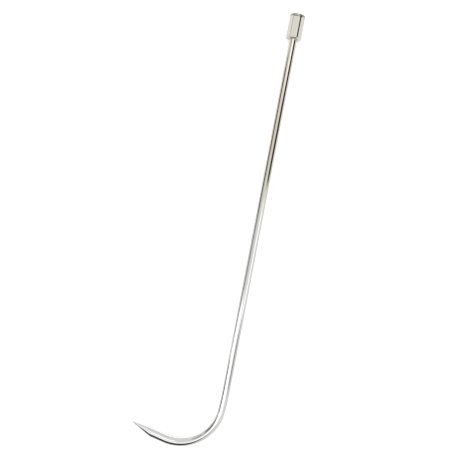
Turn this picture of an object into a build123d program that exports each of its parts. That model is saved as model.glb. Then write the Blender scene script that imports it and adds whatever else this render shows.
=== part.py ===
from build123d import *
import os
from math import atan, cos, radians, sin, tan

# A hand tool for reaching behind a panel and pushing on it. A round steel rod is bent into an open
# hook that ends in a ground point, and carries a hexagonal adapter for a removable handle.
#
# While it is modelled, the straight shank lies along Y with the adapter's end face at Y = 0 and the
# hook at -Y. The hook lies in the XY plane and opens towards -X. At the end the whole tool is moved
# so that the middle of its footprint is the origin and its lowest point is Z = 0.

# ---- Driving dimensions, millimetres and degrees ----
OVERALL_LENGTH = 609.6      # adapter's end face to the outside of the hook, 24 in
ROD_DIAMETER = 10.3         # 13/32 in round bar
LEAD_RADIUS = 452.0         # gentle start of the bend, on the rod's centreline
LEAD_TURN = 4.0
HOOK_RADIUS = 57.5          # the hook's own bend, on the rod's centreline
HOOK_TURN = 99.5
HOOK_TAIL = 48.2            # straight run from the end of the bend to the point
GRIND_LENGTH = 30.0         # how far back from the point the grinding reaches
POINT_OFFSET = 3.9          # the point sits this far off the centreline, to the inside
POINT_RADIUS = 0.8          # round nose of the point
GRIND_MARGIN = 0.15         # the cone is this much larger than the rod where the grinding starts
GRIND_OVERRUN = 2.0         # the bar and the cone each run on this far past the ground length

HEX_FLATS = 19.05           # across flats, 3/4 in
BLANK_DIAMETER = 20.8       # the round bar that the six flats are milled on
HEX_TURN = 8.0              # the upper flat is turned this far about the shank, towards the hook
ADAPTER_LENGTH = 32.5
RIM_LENGTH = 2.8            # the flats' cutter stops this far short of the free end
RUNOUT_RADIUS = 2.0         # hollow that the cutter leaves where each flat runs out at the rim
EDGE_ROUNDING = 0.5         # both outer ends of the adapter
WELD_DEPTH = 3.0            # plug weld that fills the bore at the free end

# ---- Worked out from them ----
ROD_RADIUS = ROD_DIAMETER / 2
BLANK_RADIUS = BLANK_DIAMETER / 2


def heading(turn):
    """Unit vector along the rod after it has turned this far from -Y towards -X."""
    return Vector(-sin(radians(turn)), -cos(radians(turn)), 0)


def left_of(turn):
    """Unit vector square to the rod, towards the inside of the hook."""
    return Vector(-cos(radians(turn)), sin(radians(turn)), 0)


def after_arc(start, turn, radius, angle):
    """Point that an arc of this radius reaches when it turns the rod by another angle."""
    centre = start + left_of(turn) * radius
    return centre - left_of(turn + angle) * radius


def shank_length():
    """Straight length of the rod that makes the tool's overall length come out right."""
    lead_end = after_arc(Vector(0, 0, 0), 0, LEAD_RADIUS, LEAD_TURN)
    hook_centre = lead_end + left_of(LEAD_TURN) * HOOK_RADIUS
    hook_reach = HOOK_RADIUS + ROD_RADIUS - hook_centre.Y
    return OVERALL_LENGTH - WELD_DEPTH - hook_reach


def rod_corners():
    """Ends of the rod's straight runs and arcs, from the weld to the point."""
    top = Vector(0, -WELD_DEPTH, 0)
    lead_start = top + heading(0) * shank_length()
    lead_end = after_arc(lead_start, 0, LEAD_RADIUS, LEAD_TURN)
    hook_end = after_arc(lead_end, LEAD_TURN, HOOK_RADIUS, HOOK_TURN)
    tail_end = hook_end + heading(LEAD_TURN + HOOK_TURN) * HOOK_TAIL
    return top, lead_start, lead_end, hook_end, tail_end


def bent_bar():
    """The round bar, bent but not yet ground."""
    top, lead_start, lead_end, hook_end, tail_end = rod_corners()
    shank = Line(top, lead_start)
    lead = TangentArc(lead_start, lead_end, tangent=heading(0))
    hook = TangentArc(lead_end, hook_end, tangent=heading(LEAD_TURN))
    tail = Line(hook_end, tail_end + heading(LEAD_TURN + HOOK_TURN) * GRIND_OVERRUN)
    path = Wire([shank, lead, hook, tail])
    section = Plane(origin=top, z_dir=heading(0)) * Circle(ROD_RADIUS)
    return sweep(section, path=path)


def ground_point():
    """Round-nosed cone that the end of the rod is ground to, leaning to the inside of the hook."""
    turn = LEAD_TURN + HOOK_TURN
    tail_end = rod_corners()[-1]
    base = tail_end - heading(turn) * GRIND_LENGTH
    point = tail_end + left_of(turn) * POINT_OFFSET
    length = (point - base).length
    slope = atan((ROD_RADIUS + GRIND_MARGIN - POINT_RADIUS) / (length - POINT_RADIUS))
    nose_edge = POINT_RADIUS * cos(slope)
    nose_start = length - POINT_RADIUS * (1 - sin(slope))
    nose_middle = POINT_RADIUS * cos(radians(45))
    back_radius = nose_edge + (nose_start + GRIND_OVERRUN) * tan(slope)
    with BuildSketch(Plane.XZ) as profile:
        with BuildLine():
            Polyline((0, -GRIND_OVERRUN), (back_radius, -GRIND_OVERRUN), (nose_edge, nose_start))
            ThreePointArc(
                (nose_edge, nose_start),
                (nose_middle, length - POINT_RADIUS + nose_middle),
                (0, length),
            )
            Line((0, length), (0, -GRIND_OVERRUN))
        make_face()
    cone = revolve(profile.sketch, axis=Axis.Z)
    return Plane(origin=base, z_dir=(point - base).normalized()) * cone


def hook_shaft():
    """Bent rod with its end ground to a point."""
    turn = LEAD_TURN + HOOK_TURN
    tail_end = rod_corners()[-1]
    base = tail_end - heading(turn) * GRIND_LENGTH
    waste_plane = Plane(origin=base, z_dir=heading(turn))
    waste = waste_plane * extrude(Circle(ROD_DIAMETER), amount=GRIND_LENGTH + ROD_DIAMETER)
    return bent_bar() - (waste - ground_point())


def round_blank():
    """Round bar with rounded ends, from the free end face to the shank's end face."""
    with BuildSketch() as profile:
        with Locations((BLANK_RADIUS / 2, -ADAPTER_LENGTH / 2)):
            Rectangle(BLANK_RADIUS, ADAPTER_LENGTH)
        outer_corners = profile.vertices().group_by(Axis.X)[-1]
        fillet(outer_corners, EDGE_ROUNDING)
    return revolve(profile.sketch, axis=Axis.Y)


def flat_waste():
    """What the cutter takes off to make the flat that faces +Z, with its hollow run-out."""
    height = BLANK_RADIUS
    length = ADAPTER_LENGTH
    side_view = Plane(origin=(0, 0, 0), x_dir=(0, 0, 1), z_dir=(-1, 0, 0))
    with BuildSketch(side_view) as profile:
        with Locations((HEX_FLATS / 2 + height / 2, -RIM_LENGTH - length / 2)):
            Rectangle(height, length)
        inner_corners = profile.vertices().group_by(Axis.Z)[0]
        fillet(inner_corners.sort_by(Axis.Y)[-1], RUNOUT_RADIUS)
    return extrude(profile.sketch, amount=BLANK_RADIUS, both=True)


def hex_adapter():
    """Round bar with six milled flats below a round rim, bored to fit the rod."""
    end_plane = Plane(origin=(0, 0, 0), x_dir=(1, 0, 0), z_dir=(0, -1, 0))
    adapter = round_blank()
    for i in range(6):
        adapter -= Rot(0, 60 * i - HEX_TURN, 0) * flat_waste()
    return adapter - end_plane * extrude(Circle(ROD_RADIUS), amount=ADAPTER_LENGTH)


def end_weld():
    """Plug weld over the rod's end, dressed flush with the adapter's end face."""
    end_plane = Plane(origin=(0, 0, 0), x_dir=(1, 0, 0), z_dir=(0, -1, 0))
    return end_plane * extrude(Circle(ROD_RADIUS), amount=WELD_DEPTH)


def main():
    pieces = {
        "hook_shaft": hook_shaft(),
        "hex_adapter": hex_adapter(),
        "end_weld": end_weld(),
    }
    box = pieces["hook_shaft"].bounding_box().add(pieces["hex_adapter"].bounding_box())
    middle = (box.min + box.max) / 2
    to_origin = Vector(-middle.X, -middle.Y, -box.min.Z)
    os.makedirs("parts", exist_ok=True)
    for name, piece in pieces.items():
        export_step(Pos(to_origin) * piece, f"parts/{name}.step")
    print("moved by", to_origin)


main()
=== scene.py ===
import math

import bmesh
import bpy
from mathutils import Matrix, Vector


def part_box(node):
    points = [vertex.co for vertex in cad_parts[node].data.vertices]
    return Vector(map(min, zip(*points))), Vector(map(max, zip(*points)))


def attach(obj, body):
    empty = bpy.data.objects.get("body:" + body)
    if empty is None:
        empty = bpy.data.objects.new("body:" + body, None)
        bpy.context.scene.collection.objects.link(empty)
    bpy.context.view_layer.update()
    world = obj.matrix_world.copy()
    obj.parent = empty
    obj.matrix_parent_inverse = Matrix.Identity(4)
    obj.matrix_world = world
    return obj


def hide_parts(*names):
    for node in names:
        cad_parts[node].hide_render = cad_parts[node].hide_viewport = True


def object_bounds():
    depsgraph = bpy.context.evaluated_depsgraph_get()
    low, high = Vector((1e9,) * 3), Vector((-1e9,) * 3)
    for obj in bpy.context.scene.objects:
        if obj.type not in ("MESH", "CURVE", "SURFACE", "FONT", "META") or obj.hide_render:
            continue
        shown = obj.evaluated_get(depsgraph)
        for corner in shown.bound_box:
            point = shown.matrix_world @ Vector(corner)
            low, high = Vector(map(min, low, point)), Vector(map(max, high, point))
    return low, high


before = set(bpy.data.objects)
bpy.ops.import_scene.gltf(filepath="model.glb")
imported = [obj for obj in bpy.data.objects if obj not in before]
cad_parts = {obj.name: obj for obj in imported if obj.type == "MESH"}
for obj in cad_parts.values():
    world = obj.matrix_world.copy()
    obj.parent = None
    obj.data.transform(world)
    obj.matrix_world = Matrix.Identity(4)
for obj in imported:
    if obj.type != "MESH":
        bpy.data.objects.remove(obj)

# Looks of a bent steel push rod with a hexagonal adapter. Metres, in the CAD frame: the tool lies flat
# on the floor, its straight shank along +Y and its hook opening towards -X.
CAD_LOW, CAD_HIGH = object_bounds()

# ---- The tool's shape, as in the CAD model ----
LEAD_RADIUS = 0.452
LEAD_TURN = math.radians(4.0)
HOOK_RADIUS = 0.0575
HOOK_TURN = math.radians(99.5)
HOOK_TAIL = 0.0482
GRIND_LENGTH = 0.030
POINT_OFFSET = 0.0039
POINT_RADIUS = 0.0008
GRIND_MARGIN = 0.00015
HEX_FLATS = 0.01905
HEX_TURN = math.radians(8.0)
BLANK_RADIUS = 0.0104
RIM_LENGTH = 0.0028
RUNOUT_RADIUS = 0.0020
END_ROUNDING = 0.0005

WELD_LOW, WELD_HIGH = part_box("end_weld")
SHAFT_LOW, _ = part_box("hook_shaft")
ADAPTER_LOW, ADAPTER_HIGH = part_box("hex_adapter")
ROD_RADIUS = (WELD_HIGH.x - WELD_LOW.x) / 2
AXIS_X = (WELD_HIGH.x + WELD_LOW.x) / 2
AXIS_Z = (WELD_HIGH.z + WELD_LOW.z) / 2
UP = Vector((0.0, 0.0, 1.0))

# ---- How finely the meshes follow it (nose steps in radians) ----
AROUND = 128
SHANK_STEP = 0.012
BEND_STEP = 0.0015
GRIND_STEP = 0.0004
GRIND_FIRST = 0.0015
NOSE_STEP = 0.1
NOSE_LAST = 1.5
HEX_AROUND = 720
FLAT_STEP = 0.003
RUNOUT_STEP = 0.0001
RIM_STEP = 0.0006
RINGS_PER_ROUNDING = 8
RING_GAP = 0.0002
EDGE_ROUNDING = 0.00012
MOUTH_CHAMFER = 0.00025
BORE_SHOWN = 0.004
WELD_FIT = 0.98
WELD_EDGE = 0.0004
WELD_DIP = 0.00012

# ---- Studio ----
SHELL_RADIUS = 2.6
CAMERA_HEIGHT = 0.81
CAMERA_ROLL = math.radians(10.82)
VIEW_WIDTH = 0.6437
AIM_LEFT = 0.02823
AIM_DOWN = 0.31075
FLOOR_SIZE = 14.0
FLOOR_GAP = 0.0002
FLOOR_GLOW = 0.40
WORLD_LIGHT = 1.25
WHITE = (1.0, 1.0, 1.0)
WARM = (1.0, 0.99, 0.96)
DARK = (1.0, 0.93, 0.84)


def heading(turn):
    """Direction of the rod after it has turned this far from -Y towards -X."""
    return Vector((-math.sin(turn), -math.cos(turn), 0.0))


def inward(turn):
    """Direction square to the rod, towards the inside of the hook."""
    return Vector((-math.cos(turn), math.sin(turn), 0.0))


def after_arc(start, turn, radius, angle):
    """Where the rod gets to, from start, when it bends through an angle."""
    return start + (inward(turn) - inward(turn + angle)) * radius


class RodLine:
    """The rod's centreline: straight shank, gentle lead, hook and straight tail."""

    def __init__(self):
        self.top = Vector((AXIS_X, WELD_LOW.y, AXIS_Z))
        lead_drop = -after_arc(Vector(), 0.0, LEAD_RADIUS, LEAD_TURN).y
        hook_drop = HOOK_RADIUS + ROD_RADIUS - inward(LEAD_TURN).y * HOOK_RADIUS
        self.shank = self.top.y - SHAFT_LOW.y - lead_drop - hook_drop
        self.lead_start = self.top + heading(0.0) * self.shank
        self.lead_end = after_arc(self.lead_start, 0.0, LEAD_RADIUS, LEAD_TURN)
        self.hook_end = after_arc(self.lead_end, LEAD_TURN, HOOK_RADIUS, HOOK_TURN)
        self.lead = LEAD_RADIUS * LEAD_TURN
        self.hook = HOOK_RADIUS * HOOK_TURN
        self.length = self.shank + self.lead + self.hook + HOOK_TAIL

    def at(self, run):
        """Point on the line and how far the rod has turned there, after this length of rod."""
        if run <= self.shank:
            return self.top + heading(0.0) * run, 0.0
        run -= self.shank
        if run <= self.lead:
            turn = run / LEAD_RADIUS
            return after_arc(self.lead_start, 0.0, LEAD_RADIUS, turn), turn
        run -= self.lead
        if run <= self.hook:
            turn = run / HOOK_RADIUS
            return after_arc(self.lead_end, LEAD_TURN, HOOK_RADIUS, turn), LEAD_TURN + turn
        turn = LEAD_TURN + HOOK_TURN
        return self.hook_end + heading(turn) * (run - self.hook), turn


def steps(start, end, size):
    """Evenly spaced values from start to end, no further apart than size."""
    count = max(1, math.ceil((end - start) / size))
    return [start + (end - start) * i / count for i in range(count + 1)]


def skin(rings, name, cap_start=False, cap_end=False):
    """Mesh through rings of (point, straightened point) pairs, with the straightened points kept."""
    made = bmesh.new()
    straight = made.verts.layers.float_vector.new("straightened")
    rows = []
    for ring in rings:
        row = []
        for point, unbent in ring:
            vertex = made.verts.new(point)
            vertex[straight] = unbent
            row.append(vertex)
        rows.append(row)
    for lower, upper in zip(rows, rows[1:]):
        for i in range(len(lower)):
            j = (i + 1) % len(lower)
            made.faces.new((lower[i], lower[j], upper[j], upper[i]))
    for wanted, row in ((cap_start, rows[0]), (cap_end, rows[-1])):
        if wanted:
            made.faces.new(row)
    bmesh.ops.recalc_face_normals(made, faces=made.faces)
    for face in made.faces:
        face.smooth = len(face.verts) == 4
    mesh = bpy.data.meshes.new(name)
    made.to_mesh(mesh)
    made.free()
    piece = bpy.data.objects.new(name, mesh)
    bpy.context.scene.collection.objects.link(piece)
    return piece


def ring_round(centre, side, up, run, reach):
    """One ring of the rod: reach(direction angle) is the distance from the centre to the skin."""
    ring = []
    for i in range(AROUND):
        angle = 2 * math.pi * i / AROUND
        far = reach(angle)
        offset = side * (math.cos(angle) * far) + up * (math.sin(angle) * far)
        unbent = Vector((math.cos(angle) * far, run, math.sin(angle) * far))
        ring.append((centre + offset, unbent))
    return ring


class GroundPoint:
    """The rod's round skin, cut back to a leaning round-nosed cone."""

    def __init__(self, line):
        self.turn = LEAD_TURN + HOOK_TURN
        self.rod_run = line.length - GRIND_LENGTH
        tail_end = line.hook_end + heading(self.turn) * HOOK_TAIL
        self.base = tail_end - heading(self.turn) * GRIND_LENGTH
        axis = tail_end + inward(self.turn) * POINT_OFFSET - self.base
        self.length = axis.length
        self.axis = axis.normalized()
        self.side = Vector((-self.axis.y, self.axis.x, 0.0))
        if self.side.dot(inward(self.turn)) < 0:
            self.side.negate()
        taper = (ROD_RADIUS + GRIND_MARGIN - POINT_RADIUS) / (self.length - POINT_RADIUS)
        self.slope = math.atan(taper)
        self.nose_start = self.length - POINT_RADIUS * (1 - math.sin(self.slope))

    def cone_radius(self, run):
        if run <= self.nose_start:
            return POINT_RADIUS * math.cos(self.slope) + (self.nose_start - run) * math.tan(self.slope)
        past_centre = run - (self.length - POINT_RADIUS)
        return math.sqrt(max(POINT_RADIUS**2 - past_centre**2, 0.0))

    def ring(self, run):
        """One slanting ring, out to the rod's skin or the cone's, whichever is nearer."""
        centre = self.base + self.axis * run
        across = (centre - self.base).dot(inward(self.turn))
        cone = self.cone_radius(run)
        squash = heading(self.turn).dot(self.axis)

        def reach(angle):
            c, s = math.cos(angle) * squash, math.sin(angle)
            a = c * c + s * s
            b = across * c
            to_skin = (-b + math.sqrt(b * b - a * (across * across - ROD_RADIUS**2))) / a
            return min(to_skin, cone)

        return ring_round(centre, self.side, UP, self.rod_run + run, reach)

    def rings(self):
        nose = self.length - self.nose_start
        runs = steps(GRIND_FIRST, self.nose_start, GRIND_STEP)
        runs += [self.nose_start + nose * math.sin(a) for a in steps(NOSE_STEP, NOSE_LAST, NOSE_STEP)]
        return [self.ring(run) for run in runs]


def build_shaft():
    """The bent rod with its ground point."""
    line = RodLine()
    bend_start = line.shank
    bend_end = line.shank + line.lead + line.hook
    grind_start = line.length - GRIND_LENGTH
    runs = steps(0.0, bend_start, SHANK_STEP)[:-1]
    runs += steps(bend_start, bend_end, BEND_STEP)[:-1]
    runs += steps(bend_end, grind_start, BEND_STEP)
    rings = []
    for run in runs:
        centre, turn = line.at(run)
        rings.append(ring_round(centre, inward(turn), UP, run, lambda angle: ROD_RADIUS))
    rings += GroundPoint(line).rings()
    return skin(rings, "bent_rod", cap_start=True, cap_end=True)


def softly_least(a, b, rounding):
    """The smaller of two lengths, with the corner between them rounded off."""
    gap = max(rounding - abs(a - b), 0.0) / rounding
    return min(a, b) - gap * gap * rounding / 4


def blank_radius(y):
    """Radius of the round bar with rounded ends, before its flats are milled."""
    depth = min(ADAPTER_HIGH.y - y, y - ADAPTER_LOW.y)
    inside = max(END_ROUNDING - depth, 0.0)
    return BLANK_RADIUS - END_ROUNDING + math.sqrt(max(END_ROUNDING**2 - inside**2, 0.0))


def flat_height(y):
    """How far the flats stand off the axis here, or None on the rim. They run out in a hollow."""
    into_runout = y - (ADAPTER_HIGH.y - RIM_LENGTH - RUNOUT_RADIUS)
    if into_runout >= RUNOUT_RADIUS:
        return None
    rise = RUNOUT_RADIUS - math.sqrt(RUNOUT_RADIUS**2 - max(into_runout, 0.0) ** 2)
    return HEX_FLATS / 2 + rise


def round_axis(y, reach):
    """One ring about the adapter's axis: reach(angle) is the distance from the axis to the skin."""
    ring = []
    for i in range(HEX_AROUND):
        angle = 2 * math.pi * i / HEX_AROUND
        far = reach(angle)
        point = Vector((AXIS_X + far * math.cos(angle), y, AXIS_Z + far * math.sin(angle)))
        ring.append((point, point.copy()))
    return ring


def plain_ring(y, radius):
    return round_axis(y, lambda angle: radius)


def adapter_ring(y):
    """One ring of the adapter: round bar with six flats."""
    turned = blank_radius(y)
    height = flat_height(y)
    if height is None:
        return plain_ring(y, turned)

    def reach(angle):
        upright = math.pi / 2 + HEX_TURN
        off_flat = (angle - upright + math.pi / 6) % (math.pi / 3) - math.pi / 6
        return softly_least(height / math.cos(off_flat), turned, EDGE_ROUNDING)

    return round_axis(y, reach)


def build_adapter():
    """The bored hexagonal adapter, from its bore's lower mouth round the outside to the upper one."""
    low, high = ADAPTER_LOW.y, ADAPTER_HIGH.y
    runout = high - RIM_LENGTH - RUNOUT_RADIUS
    mouth, land = ROD_RADIUS + MOUTH_CHAMFER, ROD_RADIUS + 3 * MOUTH_CHAMFER
    flats = steps(low + 2 * END_ROUNDING, runout - RING_GAP, FLAT_STEP)
    flats += steps(runout, runout + RUNOUT_RADIUS + RUNOUT_STEP, RUNOUT_STEP)
    flats += steps(high - RIM_LENGTH + 2 * RING_GAP, high - END_ROUNDING - RING_GAP, RIM_STEP)
    quarter = [math.sin(math.pi / 2 * i / RINGS_PER_ROUNDING) for i in range(RINGS_PER_ROUNDING + 1)]
    rings = [plain_ring(low + BORE_SHOWN, ROD_RADIUS), plain_ring(low + MOUTH_CHAMFER, ROD_RADIUS)]
    rings += [plain_ring(low, mouth), plain_ring(low, land)]
    rings += [adapter_ring(low + END_ROUNDING * (1 - c)) for c in reversed(quarter)]
    rings += [adapter_ring(y) for y in flats]
    rings += [adapter_ring(high - END_ROUNDING * (1 - c)) for c in quarter]
    rings += [plain_ring(high, land), plain_ring(high, mouth)]
    rings += [plain_ring(high - MOUTH_CHAMFER, ROD_RADIUS), plain_ring(high - BORE_SHOWN, ROD_RADIUS)]
    return skin(rings, "hexagon_adapter")


def build_weld():
    """The plug weld: a disc dressed flush, with a slight hollow where it meets the bore."""
    low, high = WELD_LOW.y, WELD_HIGH.y
    wall = ROD_RADIUS * WELD_FIT
    rings = [plain_ring(low, wall), plain_ring(high - WELD_EDGE, wall)]
    for share in (0.95, 0.9, 0.8, 0.65, 0.5, 0.35, 0.2, 0.08):
        dip = WELD_DIP * max(0.0, (share - 0.7) / 0.3) ** 2
        rings.append(plain_ring(high - dip, ROD_RADIUS * share))
    return skin(rings, "plug_weld", cap_start=True, cap_end=True)


# ---- Materials ----
class Nodes:
    """Short way to write a node tree."""

    def __init__(self, name):
        self.material = bpy.data.materials.new(name)
        self.material.use_nodes = True
        self.tree = self.material.node_tree
        self.shader = self.tree.nodes["Principled BSDF"]

    def add(self, kind, settings=None, **inputs):
        """New node. Inputs are named like its sockets, with underscores for spaces."""
        node = self.tree.nodes.new(kind)
        for key, value in (settings or {}).items():
            setattr(node, key, value)
        for key, value in inputs.items():
            self.put(node, key.replace("_", " "), value)
        return node

    def put(self, node, socket, value):
        """Links another node's output to a socket, or sets the socket's own value."""
        target = node.inputs[socket]
        if isinstance(value, bpy.types.NodeSocket):
            self.tree.links.new(value, target)
        else:
            target.default_value = value

    def where(self, scale):
        """Position on the piece as if the rod were straight, in units of 1 / scale metres."""
        place = self.add("ShaderNodeAttribute", {"attribute_name": "straightened"})
        mapped = self.add("ShaderNodeMapping")
        self.put(mapped, "Vector", place.outputs["Vector"])
        mapped.inputs["Scale"].default_value = scale
        return mapped.outputs["Vector"]

    def noise(self, scale, detail=3.0):
        """Noise from 0 to 1. scale is how many blobs fit in a metre across, along and up."""
        node = self.add("ShaderNodeTexNoise", Scale=1.0, Detail=detail, Roughness=0.55)
        self.put(node, "Vector", self.where(scale))
        return node.outputs["Fac"]

    def ramp(self, value, low, high, out_low, out_high):
        """Runs from out_low to out_high while the value goes from low to high."""
        node = self.add("ShaderNodeMapRange")
        self.put(node, "Value", value)
        self.put(node, "From Min", low)
        self.put(node, "From Max", high)
        self.put(node, "To Min", out_low)
        self.put(node, "To Max", out_high)
        return node.outputs["Result"]

    def math(self, operation, a, b):
        """Arithmetic on two sockets or numbers."""
        node = self.add("ShaderNodeMath", {"operation": operation})
        for i, value in enumerate((a, b)):
            self.put(node, i, value)
        return node.outputs["Value"]

    def mix(self, share, a, b):
        """Colour a where share is 0, colour b where it is 1."""
        node = self.add("ShaderNodeMix", {"data_type": "RGBA"})
        self.put(node, "Factor", share)
        # Sockets 6 and 7 and output 2 are the node's colour ones.
        for socket, value in ((6, a), (7, b)):
            self.put(node, socket, value)
        return node.outputs[2]

    def bump(self, height, distance, strength, normal=None):
        """Normal tilted by a height map, on top of another bump's normal if one is given."""
        node = self.add("ShaderNodeBump", Distance=distance, Strength=strength, Height=height)
        if normal is not None:
            self.put(node, "Normal", normal)
        return node.outputs["Normal"]


def along(n):
    """Metres down the rod from its top as if it were straight. On the adapter it is the frame's Y."""
    place = n.add("ShaderNodeAttribute", {"attribute_name": "straightened"})
    split = n.add("ShaderNodeSeparateXYZ", Vector=place.outputs["Vector"])
    return split.outputs["Y"]


def polished_steel(name, own_colours_and_painted_reflections, rough):
    """Polished stainless steel with fine lengthwise lines, faint waves and small wear marks.

    The colour runs through the given (place along the piece, colour) pairs, and rough is the
    lowest and highest roughness of the polish. On the rod these colours are painted reflections of
    the warm and greenish surroundings; on the adapter the colour is its own.
    """
    n = Nodes(name)
    lines = n.noise((5200.0, 22.0, 5200.0), detail=4.0)
    broad = n.noise((700.0, 7.0, 700.0), detail=2.0)
    cloud = n.noise((60.0, 24.0, 60.0), detail=2.0)
    waves = n.noise((30.0, 34.0, 30.0), detail=1.0)
    marks = n.noise((700.0, 160.0, 700.0), detail=5.0)
    worn = n.ramp(marks, 0.62, 0.75, 0.0, 1.0)
    run = n.math("ADD", along(n), n.ramp(cloud, 0.0, 1.0, -0.02, 0.02))
    # Colour bands along the piece: on the rod they are painted reflections of the surroundings.
    tint = own_colours_and_painted_reflections[0][1]
    for (start, _), (end, colour) in zip(own_colours_and_painted_reflections, own_colours_and_painted_reflections[1:]):
        tint = n.mix(n.ramp(run, start, end, 0.0, 1.0), tint, colour)
    line_grey = (0.36, 0.35, 0.33, 1.0)
    n.put(n.shader, "Base Color", n.mix(n.math("MULTIPLY", lines, 0.2), tint, line_grey))
    fine = n.ramp(lines, 0.3, 0.7, rough[0], rough[1])
    n.put(n.shader, "Roughness", n.math("ADD", fine, n.math("MULTIPLY", worn, 0.08)))
    n.shader.inputs["Metallic"].default_value = 1.0
    slow = n.bump(waves, 0.00025, 0.5)
    middle = n.bump(broad, 0.00005, 0.5, slow)
    n.put(n.shader, "Normal", n.bump(lines, 0.000004, 0.5, middle))
    return n


def turned_rim(n):
    """Gives the adapter's rim a duller turned finish with fine rings round it, and a darker colour
    that is partly painted shade.
    """
    low = ADAPTER_HIGH.y - RIM_LENGTH - 3 * RING_GAP
    rim = n.ramp(along(n), low, low + 2 * RING_GAP, 0.0, 1.0)
    rings = n.noise((160.0, 9000.0, 160.0), detail=3.0)
    # The rim's darker colour is partly its duller turned finish and partly painted shade.
    grey_and_painted_shade = n.mix(rings, (0.27, 0.275, 0.25, 1.0), (0.42, 0.42, 0.39, 1.0))
    polished, rough = (n.shader.inputs[s].links[0].from_socket for s in ("Base Color", "Roughness"))
    n.put(n.shader, "Base Color", n.mix(rim, polished, grey_and_painted_shade))
    dull = n.ramp(rings, 0.3, 0.7, 0.26, 0.36)
    share = n.math("MULTIPLY", rim, n.math("SUBTRACT", dull, rough))
    n.put(n.shader, "Roughness", n.math("ADD", rough, share))


def weld_metal():
    """Dressed weld metal: duller and finely grained, with a faint straw tint."""
    n = Nodes("dressed_weld")
    grains = n.noise((1500.0, 1500.0, 1500.0), detail=5.0)
    cloud = n.noise((260.0, 260.0, 260.0), detail=2.0)
    tint = n.mix(cloud, (0.50, 0.46, 0.39, 1.0), (0.46, 0.46, 0.47, 1.0))
    n.put(n.shader, "Base Color", tint)
    n.put(n.shader, "Roughness", n.ramp(grains, 0.3, 0.7, 0.24, 0.42))
    n.shader.inputs["Metallic"].default_value = 1.0
    n.put(n.shader, "Normal", n.bump(grains, 0.00003, 0.6))
    return n.material


def finish_piece(piece, node, material):
    """Puts a piece in the place of its CAD node, on the tool's one body."""
    piece.data.materials.append(material)
    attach(piece, "root")
    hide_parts(node)


def dress_tool():
    """Builds the three pieces with their materials."""
    # straw, tan and green are painted reflections of the surroundings, laid along the rod; pale is the
    # adapter's own colour.
    straw, tan = (0.55, 0.525, 0.475, 1.0), (0.56, 0.515, 0.455, 1.0)
    green, plain = (0.53, 0.525, 0.46, 1.0), (0.53, 0.53, 0.53, 1.0)
    pale = (0.57, 0.55, 0.51, 1.0)
    rod = polished_steel(
        "polished_rod",
        [(0.03, straw), (0.11, tan), (0.19, tan), (0.23, green), (0.30, plain)],
        (0.04, 0.10),
    )
    adapter = polished_steel("polished_hex", [(0.28, pale), (0.30, pale)], (0.04, 0.08))
    turned_rim(adapter)
    finish_piece(build_shaft(), "hook_shaft", rod.material)
    finish_piece(build_adapter(), "hex_adapter", adapter.material)
    finish_piece(build_weld(), "end_weld", weld_metal())


# ---- Studio ----
def soft_glow(name, centre, edges, colour, strength, opacity):
    """Even glow that fades to clear at the edges, given as (direction, length, fade) each way."""
    n = Nodes(name)
    mask = opacity
    for direction, length, fade in edges:
        offset = n.add("ShaderNodeVectorMath", {"operation": "DOT_PRODUCT"})
        n.put(offset, 0, n.add("ShaderNodeNewGeometry").outputs["Position"])
        offset.inputs[1].default_value = direction
        off_centre = n.math("SUBTRACT", offset.outputs["Value"], centre.dot(direction))
        edge = n.add("ShaderNodeMapRange", {"interpolation_type": "SMOOTHSTEP"})
        n.put(edge, "Value", n.math("ABSOLUTE", off_centre, 0.0))
        n.put(edge, "From Min", length / 2 - fade)
        n.put(edge, "From Max", length / 2)
        n.put(edge, "To Min", 1.0)
        n.put(edge, "To Max", 0.0)
        mask = n.math("MULTIPLY", edge.outputs["Result"], mask)
    n.tree.nodes.remove(n.shader)
    glow = n.add("ShaderNodeEmission", Strength=strength)
    glow.inputs["Color"].default_value = (*colour, 1.0)
    clear = n.add("ShaderNodeBsdfTransparent")
    blend = n.add("ShaderNodeMixShader")
    n.put(blend, 0, mask)
    n.put(blend, 1, clear.outputs["BSDF"])
    n.put(blend, 2, glow.outputs["Emission"])
    n.put(n.tree.nodes["Material Output"], "Surface", blend.outputs["Shader"])
    return n.material


def card(name, azimuth, elevation, shift, size, soft, colour, strength, rise=0.0, opacity=1.0):
    """A soft-edged panel on the studio's shell that shows only in reflections.

    azimuth and elevation, in degrees, say where it stands as seen from the tool, and shift moves it
    sideways (away from +X, towards +Y, for a panel at azimuth 0). rise moves it along its own height.
    size is its width and height, and soft says how far its edges fade in each direction.
    """
    az, el = math.radians(azimuth), math.radians(elevation)
    towards = Vector((math.cos(el) * math.cos(az), math.cos(el) * math.sin(az), math.sin(el)))
    across = Vector((-math.sin(az), math.cos(az), 0.0))
    upward = towards.cross(across)
    centre = towards * SHELL_RADIUS + across * shift + upward * rise
    corners = [centre + across * (size[0] * i) + upward * (size[1] * j)
               for i, j in ((-0.5, -0.5), (0.5, -0.5), (0.5, 0.5), (-0.5, 0.5))]
    mesh = bpy.data.meshes.new(name)
    mesh.from_pydata(corners, [], [(0, 1, 2, 3)])
    panel = bpy.data.objects.new(name, mesh)
    bpy.context.scene.collection.objects.link(panel)
    edges = ((across, size[0], soft[0]), (upward, size[1], soft[1]))
    panel.data.materials.append(soft_glow(name, centre, edges, colour, strength, opacity))
    panel.visible_camera = False


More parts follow.
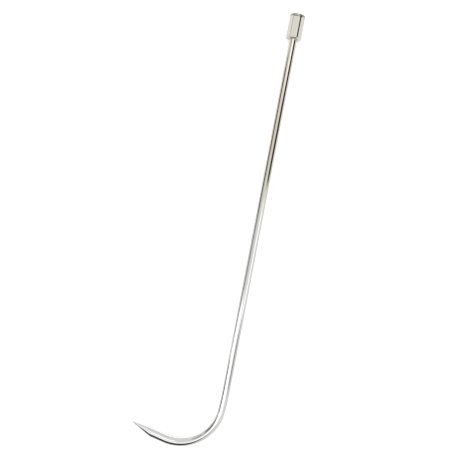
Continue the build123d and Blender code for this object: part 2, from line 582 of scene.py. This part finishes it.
def build_floor():
    """Plain pale floor that glows a little, so that no dark pool gathers round the tool."""
    bpy.ops.mesh.primitive_plane_add(size=FLOOR_SIZE, location=(0.0, 0.0, CAD_LOW.z - FLOOR_GAP))
    floor = bpy.context.object
    floor.name = "floor"
    n = Nodes("pale_floor")
    n.shader.inputs["Base Color"].default_value = (0.80, 0.80, 0.80, 1.0)
    n.shader.inputs["Roughness"].default_value = 0.9
    n.shader.inputs["Emission Color"].default_value = (1.0, 1.0, 1.0, 1.0)
    n.shader.inputs["Emission Strength"].default_value = FLOOR_GLOW
    floor.data.materials.append(n.material)


def build_world():
    """Even pale light from everywhere."""
    world = bpy.data.worlds.new("studio")
    world.use_nodes = True
    background = world.node_tree.nodes["Background"]
    background.inputs["Color"].default_value = (1.0, 1.0, 0.99, 1.0)
    background.inputs["Strength"].default_value = WORLD_LIGHT
    bpy.context.scene.world = world
    bpy.context.scene.view_settings.view_transform = "Standard"


def hang_boxes():
    """Soft boxes: the bright cores along the rod are reflections of these."""
    card("box_over_adapter", -90, 90, 0.40, (1.50, 2.2), (0.15, 0.6), WARM, 2.35, rise=1.7)
    card("box_over_hook", 180, 63, 0.77, (1.0, 4.0), (0.25, 0.5), WHITE, 2.6)
    card("box_over_bend", -90, 90, 0.80, (1.5, 0.5), (0.3, 0.15), WHITE, 1.9, rise=-1.1)
    card("box_right", 0, 48, -0.16, (0.95, 1.3), (0.2, 0.25), WHITE, 2.3)


def hang_flags():
    """Flags that keep light off: the dark lines along the rod and the adapter's corner are theirs."""
    card("flag_right", 0, 40, 1.05, (1.6, 2.7), (0.12, 0.2), DARK, 0.02)
    card("flag_right_top", 0, 63, 0.62, (0.75, 0.9), (0.25, 0.3), DARK, 0.05, opacity=0.8)
    card("flag_right_low", 0, 37, -0.69, (0.65, 1.5), (0.2, 0.3), WHITE, 0.3)
    card("flag_left", 180, 14, -0.60, (1.10, 2.3), (0.15, 0.3), DARK, 0.02)
    card("flag_left_long", 180, 16, 0.05, (1.3, 1.9), (0.2, 0.35), WHITE, 0.12, opacity=0.82)
    card("flag_left_end", 180, 17, 0.95, (0.46, 2.0), (0.05, 0.35), WHITE, 0.1, opacity=0.95)
    card("flag_left_back", 142, 28, 0.0, (1.1, 1.6), (0.3, 0.35), WHITE, 0.15, opacity=0.8)
    card("flag_left_high", 180, 52, -0.25, (1.7, 1.6), (0.4, 0.4), WARM, 0.5, opacity=0.4)
    card("flag_near", -109, 32, 0.0, (3.4, 3.6), (0.3, 0.2), WHITE, 0.05, opacity=0.95)


def build_camera():
    """Looks straight down on the tool, rolled so that the shank leans to the right."""
    data = bpy.data.cameras.new("camera")
    data.sensor_width = 36.0
    data.lens = 36.0 * CAMERA_HEIGHT / VIEW_WIDTH
    aim = Vector((AXIS_X - AIM_LEFT, CAD_HIGH.y - AIM_DOWN, AXIS_Z))
    stand = Matrix.Translation(aim + Vector((0.0, 0.0, CAMERA_HEIGHT)))
    camera = bpy.data.objects.new("camera", data)
    camera.matrix_world = stand @ Matrix.Rotation(CAMERA_ROLL, 4, "Z")
    bpy.context.scene.collection.objects.link(camera)
    bpy.context.scene.camera = camera


build_camera()
dress_tool()
build_world()
build_floor()
hang_boxes()
hang_flags()
